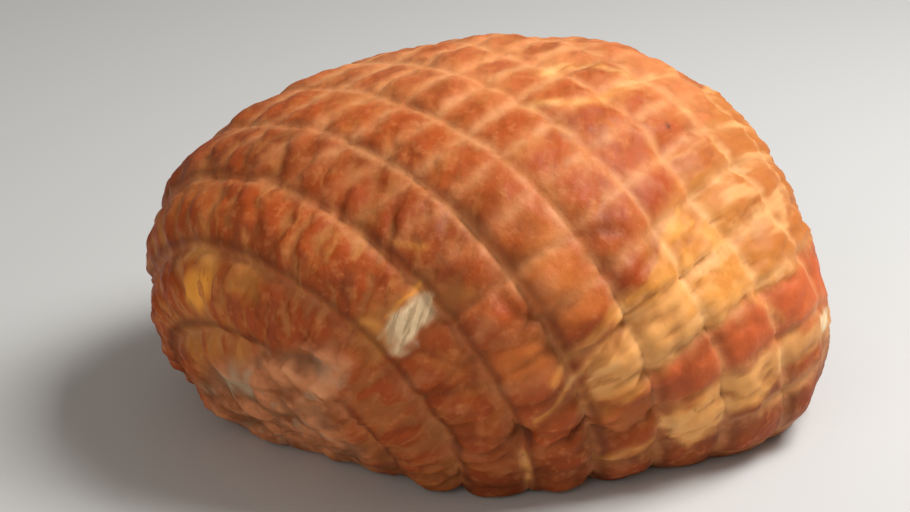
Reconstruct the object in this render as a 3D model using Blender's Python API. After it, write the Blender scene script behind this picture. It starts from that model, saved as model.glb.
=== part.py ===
"""A boneless smoked ham that was cooked in an elastic net, as one solid at its real size.

The net is off and has left its marks: rings, which are grooves around the ham, and strings, which
are grooves from one gathered end to the other. The body is a rounded block with named swells and
hollows, measured outwards from its middle, and it is flat where it rests. Rings and strings divide
its surface into cells, and each cell is a pillow of meat with a height of its own.
"""
import math
import random

import bmesh
import bpy
import numpy as np
from mathutils import Vector, noise

# The body, in metres and degrees: X along the ham, Y away from its front, Z up
HALF_LENGTH = 0.1296
HALF_DEPTH = 0.0943
HALF_HEIGHT = 0.0797
SQUARENESS = 2.32
BODY_TURN = 6.5
MIDDLE_ABOVE_REST = 0.0437
REST_ROUNDING = 0.003
REST_SINK = 0.0006
NEARLY_LEVEL = 1e-6

# Swells and hollows of the body: azimuth, elevation, spread, and rise as a share of the radius
SWELLS = {
    "fall towards the near end": (225, 44, 0.30, -0.067),
    "tucked-in near end": (221, -27, 0.35, -0.164),
    "hollow under the front right": (307, -26, 0.39, -0.076),
    "slope of the fat side": (325, 28, 0.30, -0.141),
    "drop of the right shoulder": (8, 14, 0.40, -0.162),
    "crown": (96, 44, 0.40, 0.041),
    "drop of the left shoulder": (163, 48, 0.30, -0.039),
}

# The net: bands between rings, strings around, and the axis that runs between the gathered ends
BANDS = 14
STRINGS = 32
MIDDLE_BAND = 5
AXIS_AZIMUTH = -138.8
AXIS_ELEVATION = -18.1
AXIS_SWING = (6.9, 6.3)
AXIS_BOW = (-2.8, 12.3)
FIRST_STRING = -37.9
STRING_TWIST = (-0.8, 8.1)
# Rings lie a little farther apart than the bands, counted out from the middle ring
RINGS_PER_BAND = 0.95
TIP_BANDS = 0.2

# The marks of the net: groove depths on the smooth top and on the deeply tied lower front
RING_DEPTH_TOP = 0.0016
RING_DEPTH_FRONT = 0.0048
STRING_DEPTH_TOP = 0.0008
STRING_DEPTH_FRONT = 0.0022
DEEP_SIDE = Vector((-0.42, -0.55, -0.72)).normalized()
DEEP_FROM = -0.35
DEEP_TO = 0.7
RING_SHARPNESS = 0.7
STRING_SHARPNESS = 0.6

# Creases along strings, in folds and where fat meets lean: string, first band, last band, depth
CREASES = {
    "under the side fat": (-4.1, 5.2, 10.5, 0.0022),
    "under the red strip": (-5.0, 5.8, 9.8, 0.0012),
    "fold at the lower front": (-4.78, 3.9, 5.1, 0.0026),
    "fold nearer the gathered end": (-4.6, 2.9, 4.0, 0.0022),
}
CREASE_WIDTH = 0.22
CREASE_FADE = 0.6

# Unevenness: each cell's own height, broad lumps of muscle, and the puckers at the gathered ends
CELL_UNEVENNESS = 0.0009
LUMP_HEIGHT = 0.0010
LUMP_SIZE = 0.045
LUMP_PLACE = 1.5
PUCKER_HEIGHT = 0.0028
PUCKER_SIZE = 0.011
PUCKER_PLACE = 4.5
PUCKER_SINK = 0.4
PUCKER_BANDS = 2.4
PUCKER_FADE = 1.4
NET_IN_PUCKERS = 0.2
SEED = 7

# The grid: where rows and columns lie inside one cell, and thinner columns near the gathered ends
ROW_STEPS = (0.0, 0.15, 0.5, 0.85)
COLUMN_STEPS = (0.0, 0.22, 0.78)
END_COLUMN_STEPS = (0.0, 0.5)
END_BANDS = 2
POLE_BANDS = 1
POLE_STRINGS_SKIPPED = 2

MEAT_COLOUR = (0.40, 0.14, 0.06, 1.0)
MEAT_ROUGHNESS = 0.55


def ring_count(band):
    """How many rings lie between the near gathered end and a place, the middle ring being fixed."""
    return MIDDLE_BAND + (band - MIDDLE_BAND) * RINGS_PER_BAND


def ring_band(ring):
    """The band at which a ring, or a place between two rings, lies."""
    return MIDDLE_BAND + (ring - MIDDLE_BAND) / RINGS_PER_BAND


def unit_directions(azimuth, elevation):
    """Unit vectors for angles in radians."""
    azimuth, elevation = np.broadcast_arrays(azimuth, elevation)
    flat = np.cos(elevation)
    return np.stack([flat * np.cos(azimuth), flat * np.sin(azimuth), np.sin(elevation)], axis=-1)


def net_directions(band, string):
    """Directions from the body's middle to places on the net.

    The net's axis swings and bows a little from one gathered end to the other, because the net
    was pulled over an uneven piece of meat.
    """
    angle = np.asarray(band, float) * math.pi / BANDS
    along = math.cos(MIDDLE_BAND * math.pi / BANDS) - np.cos(angle)
    swing, bow, twist = (np.radians(pair) for pair in (AXIS_SWING, AXIS_BOW, STRING_TWIST))
    azimuth = math.radians(AXIS_AZIMUTH) + swing[0] * along + bow[0] * along ** 2
    elevation = math.radians(AXIS_ELEVATION) + swing[1] * along + bow[1] * along ** 2
    axis = unit_directions(azimuth, elevation)
    upward = np.array([0.0, 0.0, 1.0]) - axis * axis[..., 2:]
    upward /= np.linalg.norm(upward, axis=-1, keepdims=True)
    sideways = np.cross(axis, upward)
    around = math.radians(FIRST_STRING) + np.asarray(string, float) * 2 * math.pi / STRINGS
    around = around + twist[0] * along + twist[1] * along ** 2
    spoke = np.cos(around)[..., None] * upward + np.sin(around)[..., None] * sideways
    return np.cos(angle)[..., None] * axis + np.sin(angle)[..., None] * spoke


def body_radius(direction):
    """Distance from the middle to the smooth body, before the net's marks."""
    turn = math.radians(BODY_TURN)
    along = direction[..., 0] * math.cos(turn) + direction[..., 1] * math.sin(turn)
    across = direction[..., 1] * math.cos(turn) - direction[..., 0] * math.sin(turn)
    total = np.abs(along / HALF_LENGTH) ** SQUARENESS
    total = total + np.abs(across / HALF_DEPTH) ** SQUARENESS
    total = total + np.abs(direction[..., 2] / HALF_HEIGHT) ** SQUARENESS
    radius = total ** (-1 / SQUARENESS)
    for azimuth, elevation, spread, rise in SWELLS.values():
        peak = unit_directions(math.radians(azimuth), math.radians(elevation))
        radius = radius * (1 + rise * np.exp((direction @ peak - 1) / spread ** 2))
    return radius


def smooth_share(value, low, high):
    """A smooth step from 0 at low to 1 at high."""
    share = np.clip((value - low) / (high - low), 0, 1)
    return share * share * (3 - 2 * share)


def pillow(position, sharpness):
    """Height across one cell, 0 in the grooves at whole numbers and 1 halfway between."""
    return np.abs(np.sin(math.pi * position)) ** sharpness


def lumps(direction, size, place_in_noise):
    """Smooth noise between about -1 and 1 at places on the body, with lumps of a given size."""
    shift = Vector((1, 2, 3)) * place_in_noise
    scale = HALF_DEPTH / size
    values = [noise.noise(Vector(place) * scale + shift) for place in direction.reshape(-1, 3)]
    return np.array(values).reshape(direction.shape[:-1])


def cell_heights():
    """A height between -1 and 1 for every cell of the net."""
    draw = random.Random(SEED)
    return np.array([[draw.uniform(-1, 1) for _ in range(STRINGS)] for _ in range(BANDS)])


def relief(band, string, direction, heights):
    """Height of the net's marks and the meat's lumps above the smooth body, in metres."""
    deep = smooth_share(direction @ np.array(DEEP_SIDE), DEEP_FROM, DEEP_TO)
    from_end = np.minimum(band, BANDS - band)
    puckered = 1 - smooth_share(from_end, PUCKER_BANDS - PUCKER_FADE, PUCKER_BANDS)
    ring_depth = RING_DEPTH_TOP + (RING_DEPTH_FRONT - RING_DEPTH_TOP) * deep
    string_depth = STRING_DEPTH_TOP + (STRING_DEPTH_FRONT - STRING_DEPTH_TOP) * deep
    ring = ring_count(band)
    across_band = pillow(ring, RING_SHARPNESS)
    across_string = pillow(string, STRING_SHARPNESS)
    height = (across_band - 1) * ring_depth + (across_string - 1) * string_depth
    cell = heights[np.floor(ring).astype(int) % BANDS, np.floor(string).astype(int) % STRINGS]
    height = height + cell * across_band * across_string * CELL_UNEVENNESS
    for at, first, last, depth in CREASES.values():
        beside = (np.asarray(string) - at + STRINGS / 2) % STRINGS - STRINGS / 2
        along = smooth_share(band, first, first + CREASE_FADE)
        along = along * smooth_share(-band, -last, CREASE_FADE - last)
        height = height - depth * along * np.exp(-(beside / CREASE_WIDTH) ** 2)
    height = height * (1 - (1 - NET_IN_PUCKERS) * puckered)
    height = height + lumps(direction, LUMP_SIZE, LUMP_PLACE) * LUMP_HEIGHT
    puckers = (lumps(direction, PUCKER_SIZE, PUCKER_PLACE) - PUCKER_SINK) * PUCKER_HEIGHT
    return height + puckered * puckers


def rest_flat(direction, radius):
    """Cut the body off flat at the level that it rests on, with a rounded rim."""
    down = np.maximum(-direction[..., 2], NEARLY_LEVEL)
    to_plane = (MIDDLE_ABOVE_REST + REST_SINK) / down
    nearer = np.minimum(radius, to_plane)
    gap = np.abs(radius - to_plane) / REST_ROUNDING
    rounded = nearer - REST_ROUNDING * np.log1p(np.exp(-gap))
    return np.minimum(rounded, MIDDLE_ABOVE_REST / down)


def ham_points(band, string, heights):
    """Points of the ham's surface, from its middle, at places on the net."""
    direction = net_directions(band, string)
    radius = body_radius(direction) + relief(band, string, direction, heights)
    return direction * rest_flat(direction, radius)[..., None]


def row_strings(band):
    """Where the columns of one row lie, in strings: fewer of them near the gathered ends."""
    from_end = min(band, BANDS - band)
    if from_end < POLE_BANDS:
        return [float(string) for string in range(0, STRINGS, POLE_STRINGS_SKIPPED)]
    steps = END_COLUMN_STEPS if from_end < END_BANDS else COLUMN_STEPS
    return [string + step for string in range(STRINGS) for step in steps]


def join_rows(mesh, near, far):
    """Fill the gap between two closed rows of (string, vertex) with triangles."""
    near_ring = near + [(near[0][0] + STRINGS, near[0][1])]
    far_ring = far + [(far[0][0] + STRINGS, far[0][1])]
    i = 0
    j = 0
    while i < len(near) or j < len(far):
        if i == len(near):
            step_near = False
        elif j == len(far):
            step_near = True
        elif near_ring[i + 1][0] != far_ring[j + 1][0]:
            step_near = near_ring[i + 1][0] < far_ring[j + 1][0]
        else:
            across_near = (near_ring[i + 1][1].co - far_ring[j][1].co).length
            across_far = (far_ring[j + 1][1].co - near_ring[i][1].co).length
            step_near = across_near < across_far
        if step_near:
            mesh.faces.new((near_ring[i][1], near_ring[i + 1][1], far_ring[j][1]))
            i += 1
        else:
            mesh.faces.new((near_ring[i][1], far_ring[j + 1][1], far_ring[j][1]))
            j += 1


def close_end(mesh, row, tip):
    """Fan triangles from a gathered end's tip to the row around it."""
    for index, (_, vertex) in enumerate(row):
        following = row[(index + 1) % len(row)][1]
        mesh.faces.new((tip, vertex, following))


def ham_mesh():
    """The whole ham as one closed mesh, centred over the origin with its flat side on Z = 0."""
    heights = cell_heights()
    mesh = bmesh.new()
    rows = []
    for band in [ring_band(ring + step) for ring in range(BANDS) for step in ROW_STEPS]:
        if min(band, BANDS - band) < TIP_BANDS:
            continue
        strings = row_strings(band)
        points = ham_points(np.full(len(strings), band), np.array(strings), heights)
        rows.append([(string, mesh.verts.new(point)) for string, point in zip(strings, points)])
    for near, far in zip(rows, rows[1:]):
        join_rows(mesh, near, far)
    for band, row in ((0.0, rows[0]), (float(BANDS), rows[-1])):
        tip = mesh.verts.new(ham_points(np.array([band]), np.array([0.0]), heights)[0])
        close_end(mesh, row, tip)
    bmesh.ops.recalc_face_normals(mesh, faces=mesh.faces)
    spots = np.array([vertex.co for vertex in mesh.verts])
    low, high = spots.min(axis=0), spots.max(axis=0)
    shift = Vector((-(low[0] + high[0]) / 2, -(low[1] + high[1]) / 2, -low[2]))
    bmesh.ops.translate(mesh, verts=mesh.verts, vec=shift)
    result = bpy.data.meshes.new("ham")
    mesh.to_mesh(result)
    mesh.free()
    return result


def meat_material():
    """The brown smoked surface."""
    material = bpy.data.materials.new("smoked_meat")
    material.use_nodes = True
    surface = material.node_tree.nodes["Principled BSDF"]
    surface.inputs["Base Color"].default_value = MEAT_COLOUR
    surface.inputs["Roughness"].default_value = MEAT_ROUGHNESS
    surface.inputs["Metallic"].default_value = 0.0
    return material


def build():
    for item in list(bpy.data.objects):
        bpy.data.objects.remove(item)
    ham = bpy.data.objects.new("ham", ham_mesh())
    ham.data.materials.append(meat_material())
    ham.data.shade_smooth()
    bpy.context.collection.objects.link(ham)


build()
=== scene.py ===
"""The looks of a boneless smoked ham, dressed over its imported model.

The ham was cooked in an elastic net. Places on it are given in net units: the band, counted from
the near gathered end in rings, and the string, counted around from the front. One fine mesh of
rows and columns of the net replaces the plain solid. Python shapes the smooth body and paints
its fat, its net lines and its creases as attributes, and Geometry Nodes press the net into it.
"""
import math
import random

import bpy
import numpy as np
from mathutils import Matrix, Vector, noise


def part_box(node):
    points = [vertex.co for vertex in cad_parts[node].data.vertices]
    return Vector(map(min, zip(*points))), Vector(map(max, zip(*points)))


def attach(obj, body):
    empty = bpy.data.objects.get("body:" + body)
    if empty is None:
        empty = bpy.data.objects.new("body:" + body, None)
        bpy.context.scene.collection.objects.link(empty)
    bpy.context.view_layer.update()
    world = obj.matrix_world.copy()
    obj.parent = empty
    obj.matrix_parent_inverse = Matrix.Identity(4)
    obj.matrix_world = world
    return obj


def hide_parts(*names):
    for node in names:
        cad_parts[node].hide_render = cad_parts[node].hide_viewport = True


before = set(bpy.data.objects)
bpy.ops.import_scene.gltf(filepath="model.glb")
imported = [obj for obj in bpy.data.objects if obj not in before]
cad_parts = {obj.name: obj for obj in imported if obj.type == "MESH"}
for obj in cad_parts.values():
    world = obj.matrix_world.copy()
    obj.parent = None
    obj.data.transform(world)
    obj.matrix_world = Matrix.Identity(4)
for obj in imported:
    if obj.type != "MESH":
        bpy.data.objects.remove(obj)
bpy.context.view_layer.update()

# The body, in metres and degrees, as the solid has it
HALF_LENGTH = 0.1296
HALF_DEPTH = 0.0943
HALF_HEIGHT = 0.0797
SQUARENESS = 2.32
BODY_TURN = 6.5
MIDDLE_ABOVE_REST = 0.0437
REST_ROUNDING = 0.003
REST_SINK = 0.0006

# Swells and hollows of the body: azimuth, elevation, spread, and rise as a share of the radius
SWELLS = {
    "fall towards the near end": (225, 44, 0.30, -0.067),
    "tucked-in near end": (221, -27, 0.35, -0.164),
    "hollow under the front right": (307, -26, 0.39, -0.076),
    "slope of the fat side": (325, 28, 0.30, -0.141),
    "drop of the right shoulder": (8, 14, 0.40, -0.162),
    "crown": (96, 44, 0.40, 0.041),
    "drop of the left shoulder": (163, 48, 0.30, -0.039),
}

# The net: bands between rings, strings around, and the axis that runs between the gathered ends
BANDS = 14
STRINGS = 32
MIDDLE_BAND = 5
AXIS_AZIMUTH = -138.8
AXIS_ELEVATION = -18.1
AXIS_SWING = (6.9, 6.3)
AXIS_BOW = (-2.8, 12.3)
FIRST_STRING = -37.9
STRING_TWIST = (-0.8, 8.1)
# Rings lie a little farther apart than the bands, counted out from the middle ring
RINGS_PER_BAND = 0.95
BAND_WIDTH = 0.0246
STRING_WIDTH = 0.0165

# The side where the marks are deep, which was tied tightly
DEEP_SIDE = (-0.42, -0.55, -0.72)

# The net's grooves and the meat's own relief: depths, heights, lengths and widths in metres, and
# sharpnesses, counts and shares as plain numbers. Each is an input of the Geometry Nodes tree.
RELIEF = {
    "Ring Depth Top": 0.0016,
    "Ring Depth Front": 0.0048,
    "String Depth Top": 0.0008,
    "String Depth Front": 0.0022,
    "Ring Sharpness": 0.48,
    "String Sharpness": 0.45,
    "Cell Unevenness": 0.0009,
    "Lump Height": 0.0012,
    "Lump Size": 0.045,
    "Muscle Height": 0.0010,
    "Muscle Size": 0.013,
    "Rope Height": 0.0022,
    "Rope Sharpness": 1.4,
    "Ropes Each String": 1.5,
    "Rope Slant": 1.1,
    "Rope Wobble": 0.8,
    "Rope Wobble Size": 0.012,
    "Rope Gap Size": 0.014,
    "Fold Height": 0.0032,
    "Fold Length": 0.036,
    "Fold Width": 0.0165,
    "Cleft Depth": 0.30,
    "Cleft Width": 0.09,
    "Wrinkle Height": 0.0009,
    "Wrinkle Length": 0.040,
    "Wrinkle Width": 0.0080,
    "Wrinkle Sharpness": 0.10,
    "Pucker Height": 0.0045,
    "Pucker Size": 0.0125,
    "Pucker Raggedness": 0.20,
    "Knob Height": 0.0022,
}
# Where the middle of each kind of relief lies, as the share of its height that is above the body
ROPE_MIDDLE = 0.5
FOLD_MIDDLE = 0.45
WRINKLE_MIDDLE = 0.35
PUCKER_MIDDLE = 0.40
ROPE_GAPS = (0.30, 0.62)
FOLD_CRUMPLE = 4.0
PUCKER_RAGGED_SCALE = 3.0
# Noise seldom reaches half its range, so even lumps are doubled
LUMP_GAIN = 2.0
SEED = 7

# The grid: rows in a band, columns in a string, and how they thin out near the gathered ends
ROWS_PER_BAND = 18
COLUMNS_PER_STRING = 13
THIN_COLUMNS = ((0.12, 16), (0.35, 8), (1.0, 4), (2.0, 2))

# Patches of fat, as outlines in (band, string)
SIDE_FAT = (
    (5.2, -3.55), (5.45, -3.2), (5.8, -2.95), (6.0, -2.6), (6.6, -2.45), (7.0, -2.3), (7.5, -2.05),
    (8.1, -1.85), (8.9, -1.6), (9.2, -1.0), (9.9, -0.4), (10.4, 0.6), (11.2, 1.4), (12.4, 0.5),
    (12.6, -2.0), (11.6, -3.6), (10.2, -4.1), (9.4, -4.0), (8.8, -4.2), (8.0, -4.08), (7.4, -4.02),
    (7.0, -4.05), (6.4, -4.10), (6.0, -4.2), (5.6, -4.35), (5.2, -4.2),
)
LOWER_FAT = (
    (6.05, -5.15), (6.5, -5.08), (7.0, -4.95), (7.6, -4.98), (8.2, -5.0), (9.0, -5.2), (9.7, -5.3),
    (10.6, -5.6), (10.5, -6.2), (9.4, -5.8), (8.6, -5.6), (7.8, -5.65), (7.1, -5.7), (6.9, -6.0),
    (6.5, -6.1), (6.2, -5.8),
)
PALE_FAT = ((5.1, -3.2), (5.9, -3.05), (6.9, -3.1), (6.9, -4.0), (5.9, -4.25), (5.2, -4.2))
# The sliver of fat that hangs at the lower front, as a path in (band, string)
SLIVER = ((3.93, -5.1), (3.97, -5.6), (3.95, -6.3))
# Streaks of fat, as a path in (band, string) with a width in metres and a strength
FAT_STREAKS = (
    (((4.3, -4.05), (4.65, -3.9), (4.85, -3.6), (5.1, -3.35)), 0.0011, 0.8),
    (((7.15, 1.65), (7.5, 1.2), (7.95, 0.85)), 0.0020, 0.75),
    (((7.95, 2.25), (8.25, 2.45), (8.6, 2.15), (8.85, 1.55), (9.0, 1.0)), 0.0036, 0.95),
    (((8.1, 0.85), (8.9, 0.85), (9.6, 0.95), (10.2, 1.3)), 0.0028, 0.85),
    (((8.1, -1.05), (8.5, -1.2), (9.0, -1.15)), 0.0017, 0.6),
    (((8.9, -0.5), (9.4, -0.3), (10.0, 0.1)), 0.0028, 0.55),
    (((7.9, -4.05), (8.1, -4.3), (8.3, -4.75)), 0.0008, 0.7),
    (((2.85, 5.45), (2.88, 5.1), (2.80, 4.6), (2.68, 4.2)), 0.0030, 0.85),
    (((4.18, 1.0), (4.28, 0.75), (4.4, 0.5)), 0.0013, 0.5),
    (((3.12, 0.12), (3.2, -0.1), (3.22, -0.35)), 0.0016, 0.65),
    (SLIVER, 0.0015, 0.8),
    (((4.75, -3.3), (5.0, -3.05), (5.5, -2.88), (5.95, -2.62)), 0.0016, 0.85),
    (((4.95, -3.55), (5.3, -3.22), (5.9, -2.95)), 0.0014, 0.75),
    (((5.0, -3.9), (5.2, -3.7), (5.5, -3.45)), 0.0013, 0.7),
    (((4.95, -4.25), (5.15, -4.05), (5.3, -4.1)), 0.0014, 0.6),
    (((6.8, -2.2), (7.5, -2.0), (8.0, -1.75), (8.5, -1.5), (9.2, -1.25)), 0.0042, 0.45),
    (((7.7, -5.9), (8.1, -6.05), (8.6, -6.0)), 0.0016, 0.5),
    (((5.1, -5.9), (5.5, -5.7), (5.9, -5.75)), 0.0026, 0.6),
)
GOLD_SPOT = ((2.25, 5.2), (2.6, 5.15), (2.62, 4.3), (2.35, 4.1), (2.12, 4.6))
OCHRE_PATCHES = (
    ((2.35, 3.6), (2.9, 3.7), (2.9, 2.6), (2.55, 2.5)),
    ((1.2, 6.6), (2.0, 6.8), (2.0, 5.4), (1.3, 5.2)),
    ((1.3, 4.7), (2.0, 4.6), (2.0, 3.9), (1.4, 4.0)),
    ((1.3, 3.3), (2.0, 3.3), (2.0, 2.7), (1.4, 2.8)),
    ((5.15, -4.1), (5.5, -4.2), (5.35, -4.45), (5.1, -4.4)),
    ((3.0, 0.15), (3.3, 0.1), (3.25, -0.5), (3.1, -0.9), (2.85, -0.9), (2.9, -0.3)),
    ((4.02, -0.5), (4.4, -0.42), (4.4, -0.72), (4.05, -0.85)),
)
WHITE_NUB = ((9.2, -5.25), (9.65, -5.3), (9.65, -5.65), (9.25, -5.55))
GREY_PATCH = (
    (3.18, -0.66), (3.30, -0.36), (3.58, -0.22), (3.93, -0.20), (3.90, -0.68), (3.60, -0.84),
    (3.36, -0.98), (3.16, -1.10), (3.12, -0.95),
)
GREY_PATCH_RIM = ((3.45, -0.16), (3.7, -0.08), (3.92, -0.10))
DARK_RED_PATCHES = (
    ((6.02, -1.9), (6.9, -2.0), (6.9, -2.3), (6.3, -2.45), (6.02, -2.5)),
    ((7.05, -1.1), (7.95, -1.2), (7.95, -1.75), (7.2, -1.8)),
)
RED_PATCHES = (
    ((6.0, -4.1), (7.0, -4.05), (8.0, -4.1), (9.3, -4.05), (10.2, -4.4), (10.0, -5.2), (9.0, -5.1),
     (8.0, -4.9), (7.0, -4.85), (6.1, -4.95)),
)
PEACH_PATCHES = (
    ((8.9, 1.3), (9.1, -1.0), (9.8, -0.6), (10.4, 0.6), (10.6, 2.2), (9.6, 2.2)),
    ((8.0, 2.9), (8.1, 2.0), (8.6, 1.9), (9.0, 2.3), (8.9, 3.1)),
)
# Lighter patches on the front, as painted light
TAN_PATCHES = (
    ((5.1, -0.6), (5.9, -0.6), (5.9, -2.4), (5.1, -2.4)),
    ((5.1, -4.5), (5.9, -4.4), (6.0, -5.0), (5.4, -5.1)),
    ((4.1, -2.3), (4.8, -2.2), (4.9, -2.9), (4.1, -3.0)),
)
SPECK = (8.55, -0.52)
SPECK_RADIUS = 0.0012
# Where the rough gathered end stops, in (string, band), and how that edge fades
ROUGH_END = (
    (-16, 1.7), (-3, 1.7), (-1.2, 2.1), (-0.6, 2.85), (0.3, 2.6), (1.3, 2.1), (3.0, 1.4), (16, 1.4),
)
ROUGH_END_FADE = (-0.35, 0.15)

# Grey wisps and shaded dips at the gathered end, as paths in (band, string)
GREY_WISPS = (
    ((0.85, 5.6), (1.1, 4.4), (1.0, 3.0), (1.35, 2.4)),
    ((1.2, 3.6), (1.5, 3.0), (1.7, 3.1)),
)
GATHERED_SHADE = (
    ((1.35, -0.8), (1.5, -1.6), (1.35, -2.6)),
    ((2.05, 0.9), (2.15, 0.5), (2.2, -0.2)),
)

# Pale knobs of meat at the gathered end, as short paths in (band, string)
KNOBS = (
    ((2.60, -0.25), (2.60, -0.70)), ((2.42, 0.20), (2.46, -0.05)), ((1.90, 0.75), (1.88, 0.25)),
    ((2.30, 0.85), (2.34, 0.60)), ((1.98, -0.50), (1.98, -0.90)), ((1.93, -2.10), (1.93, -2.60)),
)

# Creases, as a path in (band, string), a half width and a depth in metres; a crease's depth also
# darkens it as painted shade
CREASES = (
    (((6.05, -4.18), (6.5, -4.12), (6.95, -4.1)), 0.0013, 0.0019),
    (((7.1, -4.05), (7.5, -4.02), (7.85, -4.06)), 0.0012, 0.0018),
    (((8.1, -4.08), (8.5, -4.18), (8.8, -4.27)), 0.0013, 0.0020),
    (((9.0, -4.1), (9.4, -4.0)), 0.0012, 0.0012),
    (((5.10, -3.12), (5.5, -3.2), (5.9, -2.95)), 0.0010, 0.0010),
    (((6.05, -2.85), (6.5, -2.80), (7.0, -3.02), (7.5, -3.05), (8.0, -3.1)), 0.0010, 0.0010),
    (((7.1, -3.35), (7.4, -3.2), (7.9, -3.4)), 0.0009, 0.0009),
    (((8.1, -2.6), (8.5, -2.85), (9.0, -2.75)), 0.0010, 0.0009),
    (((8.1, -3.5), (8.5, -3.65), (8.95, -3.95)), 0.0010, 0.0010),
    (((6.3, -5.0), (6.6, -5.35), (6.9, -5.3)), 0.0010, 0.0008),
    (((7.1, -5.35), (7.5, -5.55), (7.9, -5.4)), 0.0011, 0.0010),
    (((5.0, -4.2), (5.4, -4.35), (5.95, -4.15)), 0.0014, 0.0020),
    (((6.0, -5.05), (6.5, -5.0), (7.0, -4.9), (8.0, -4.93), (9.2, -5.12), (9.9, -5.25)),
     0.0014, 0.0013),
    (((5.05, -2.75), (5.5, -2.78), (5.95, -2.52), (6.3, -2.42), (6.9, -2.28)), 0.0019, 0.0018),
    (((3.02, -4.3), (3.25, -4.62), (3.55, -4.68), (3.92, -4.4)), 0.0021, 0.0034),
    (((3.95, -4.1), (4.08, -4.6), (4.3, -5.0), (4.7, -4.95), (4.98, -4.7)), 0.0018, 0.0034),
    (((4.05, -2.1), (4.35, -2.2), (4.7, -2.05), (4.95, -1.8)), 0.0015, 0.0018),
    (((3.1, -2.45), (3.5, -2.5), (3.9, -2.3)), 0.0014, 0.0010),
    (((3.1, -3.3), (3.5, -3.5), (3.8, -3.4)), 0.0013, 0.0008),
    (((2.05, 1.35), (2.4, 0.9), (2.75, 0.1), (2.9, -0.5)), 0.0018, 0.0011),
    (((5.1, -5.0), (5.5, -5.25), (5.95, -5.1)), 0.0018, 0.0022),
    (((5.05, -3.55), (5.4, -3.3), (5.7, -3.25), (5.98, -3.0)), 0.0014, 0.0016),
    (((5.1, -3.95), (5.35, -3.75), (5.6, -3.9)), 0.0012, 0.0012),
    (SLIVER, 0.0014, -0.0018),
)

# Where the lean is pale, as an outline in (band, string): partly its own tone, partly painted light
PALE_LEAN = (
    (6.0, 4.8), (6.6, 2.7), (7.9, 2.2), (8.9, 2.6), (9.8, 2.0), (11.0, 3.0), (10.5, 8.0), (6.4, 9.0),
)

# Painted patches: outlines, softness of the edge in metres, and the shares of the rough and of the
# streaky edge that it takes
PATCHES = {
    "pale_fat": ((LOWER_FAT, PALE_FAT), 0.0030, 1.0, 1.0),
    "pale": ((PALE_LEAN,), 0.016, 3.0, 0.0),
    "grey": ((GREY_PATCH, WHITE_NUB), 0.0022, 2.0, 1.0),
    "gold": ((GOLD_SPOT,), 0.0030, 1.0, 0.0),
    "ochre": (OCHRE_PATCHES, 0.0040, 2.5, 0.0),
    "red": (RED_PATCHES, 0.0022, 1.0, 1.0),
    "peach": (PEACH_PATCHES, 0.0080, 2.0, 0.0),
    "tan": (TAN_PATCHES, 0.0050, 2.0, 0.0),
    "dark_red": (DARK_RED_PATCHES, 0.0030, 1.0, 1.0),
}
# Painted strokes: paths, half width in metres, and the share of the rough edge that they take
STROKES = {
    "wisp": (GREY_WISPS, 0.0035, 2.0),
    "shade": (GATHERED_SHADE, 0.0030, 2.0),
    "knob": (KNOBS, 0.0021, 1.2),
    "rim": ((GREY_PATCH_RIM,), 0.0013, 1.5),
}
GOLD_IN_RIM = 0.8

# Unevenness on the body: where in the noise each kind is read, so that no two are alike, the size
# of its lumps in metres, and its strength
ROUGH_HEIGHT = 0.0016
UNEVENNESS = {
    "rough end": (8.2, 0.015, 0.22),
    "net": (12.1, 0.022, 1.0),
    "net, finer": (6.1, 0.009, 0.8),
    "strings": (13.4, 0.022, 0.07),
    "rough edge": (11.3, 0.006, ROUGH_HEIGHT),
    "rough edge, finer": (3.1, 0.0025, 0.0007),
    "creases": (2.6, 0.012, 0.6),
}
# The same for what follows the net, with a length, a width, and a slant in strings a band
NET_UNEVENNESS = {
    "streaky edge": (4.4, 0.016, 0.0030, 0.2, 0.0026),
    "islands": (6.7, 0.044, 0.043, 0.0, 1.0),
}

# How soft the edges of the fat are, in metres, and how uneven its streaks and the creases are
SIDE_FAT_SOFTNESS = 0.0016
LOWER_FAT_SOFTNESS = 0.0013
FAT_STREAK_UNEVENNESS = 0.3
CREASE_ROUGHNESS = 0.8
CREASE_LEAST = 0.75

# Islands of fat on the side that the photo doesn't show: strings, bands, and their edges
HIDDEN_STRINGS = (9, 11)
HIDDEN_BANDS = (2.2, 3.2)
ISLAND_ROUGHNESS = 0.006
ISLAND_SPAN = (0.22, 0.34)

# Zones of the meat: what each goes by, and the values between which it fades in
ZONES = {
    "deep": ("towards the deep side", -0.35, 0.7),
    "far gathered": ("band", BANDS - 1.9, BANDS - 1.3),
    "near half": ("band", 5.6, 4.2),
    "near end": ("band", 3.3, 2.6),
    "above the front": ("string", -1.6, 0.8),
    "before the back": ("string", 14, 11),
    "low strings": ("string", 0.6, -1.6),
    "folded bands": ("band", 6.5, 5.2),
    "clear bands": ("from the ends", 3.6, 5.2),
    # Painted shade: a darker stretch over bands 4 to 5 above the front, and on low strings before
    # band 4
    "dusky from": ("band", 3.8, 4.3),
    "dusky until": ("band", 5.3, 4.8),
    "dusky low strings": ("string", -3.6, -4.8),
    "dusky low bands": ("band", 4.1, 3.7),
    # Zones of painted shade: the low front, where the surface faces down, and underneath
    "low front": ("towards the low front", 0.1, 0.95),
    "facing down": ("down", 0.05, 0.5),
    "underneath": ("down to the right", 0.21, 0.42),
}
LOW_FRONT_AZIMUTH = 232
LOW_FRONT_ELEVATION = -32
UNDERNEATH_SLOPE = 0.25
# Shares of ropes, folds and the painted shade where they are weaker than elsewhere
ROPES_ON_FAR_HALF = 0.22
ROPES_AT_NEAR_END = 0.6
FOLDS_ON_FAR_HALF = 0.45
SHADE_ON_NEAR_HALF = 0.8

# How the net's marks wander and how clearly they show
RING_WANDER = 0.035
FAINT_STRINGS = 0.15
LINE_OFFSET = -0.0004
RING_LINE_WIDTH = 0.0023
STRING_LINE_WIDTH = 0.0025
# The flank is painted shade on the groove's wall just past each ring
FLANK_OFFSET = 0.0028
FLANK_WIDTH = 0.0019

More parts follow.
